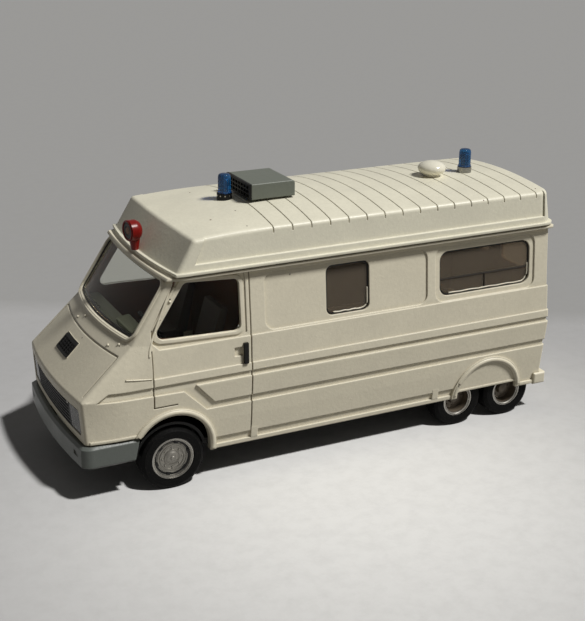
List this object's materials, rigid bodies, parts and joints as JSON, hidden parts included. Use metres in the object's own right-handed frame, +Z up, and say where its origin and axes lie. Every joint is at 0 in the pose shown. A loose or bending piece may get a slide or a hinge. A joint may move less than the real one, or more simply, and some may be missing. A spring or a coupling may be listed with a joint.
{
  "type": "scale model ambulance van",
  "caption": "Scale model of a high-roof ambulance van on three rolling axles, with hollow cab and load space, glazing, roof beacons and siren box.",
  "frame": {"origin": "on the floor, under the middle of the model's box", "axes": "+X to the rear of the vehicle, +Y to its right, +Z up"},
  "size_m": [0.1324, 0.0474, 0.0706],
  "materials": {
    "shell_white": "cast resin in warm off-white enamel",
    "clear_glazing": "clear vacuum-formed glazing",
    "smoked_glazing": "smoked glazing",
    "dark_trim": "moulded black",
    "bumper_grey": "grey paint",
    "siren_grey": "grey paint",
    "lamp_clear": "clear lens",
    "lamp_red": "red moulded plastic",
    "blue_lens": "blue clear plastic",
    "bright_metal": "bright plated",
    "base_black": "moulded black",
    "interior_brown": "moulded dark brown",
    "interior_green": "moulded grey green",
    "steel_rod": "drawn rod",
    "tyre_rubber": "moulded black rubber",
    "wheel_silver": "silver paint"
  },
  "bodies": {
    "body": {"baseplate": "base_black", "body_shell": "shell_white", "bonnet_vent": "dark_trim", "cab_door_glass": "clear_glazing", "cab_seats": "interior_green", "dashboard": "interior_green", "door_handles": "dark_trim", "front_beacon_base": "dark_trim", "front_beacon_lens": "blue_lens", "front_bumper": "bumper_grey", "front_lamp_housing": "lamp_red", "front_lamp_lens": "lamp_clear", "grille": "dark_trim", "headlamps": "lamp_clear", "interior_floor": "interior_brown", "middle_side_glass": "smoked_glazing", "partition": "interior_brown", "rear_beacon_base": "bright_metal", "rear_beacon_lens": "blue_lens", "rear_bumper": "shell_white", "rear_door_glass": "smoked_glazing", "rear_side_glass": "smoked_glazing", "roof_cap": "shell_white", "roof_vent": "shell_white", "siren_box": "siren_grey", "siren_feet": "dark_trim", "siren_mesh": "dark_trim", "steering_wheel": "dark_trim", "tail_lamps": "lamp_red", "window_rails": "dark_trim", "windscreen": "clear_glazing"},
    "front_wheels": {"front_axle": "steel_rod", "front_rim_left": "wheel_silver", "front_rim_right": "wheel_silver", "front_tyre_left": "tyre_rubber", "front_tyre_right": "tyre_rubber"},
    "middle_wheels": {"middle_axle": "steel_rod", "middle_rim_left": "wheel_silver", "middle_rim_right": "wheel_silver", "middle_tyre_left": "tyre_rubber", "middle_tyre_right": "tyre_rubber"},
    "rear_wheels": {"rear_axle": "steel_rod", "rear_rim_left": "wheel_silver", "rear_rim_right": "wheel_silver", "rear_tyre_left": "tyre_rubber", "rear_tyre_right": "tyre_rubber"}
  },
  "joints": [
    {"name": "front_axle_spin", "type": "hinge", "parent": "body", "child": "front_wheels", "pos_m": [-0.04245, 0, 0.00794], "axis": [0, 1, 0], "continuous": true},
    {"name": "middle_axle_spin", "type": "hinge", "parent": "body", "child": "middle_wheels", "pos_m": [0.03925, 0, 0.0071], "axis": [0, 1, 0], "continuous": true},
    {"name": "rear_axle_spin", "type": "hinge", "parent": "body", "child": "rear_wheels", "pos_m": [0.05495, 0, 0.0071], "axis": [0, 1, 0], "continuous": true}
  ]
}
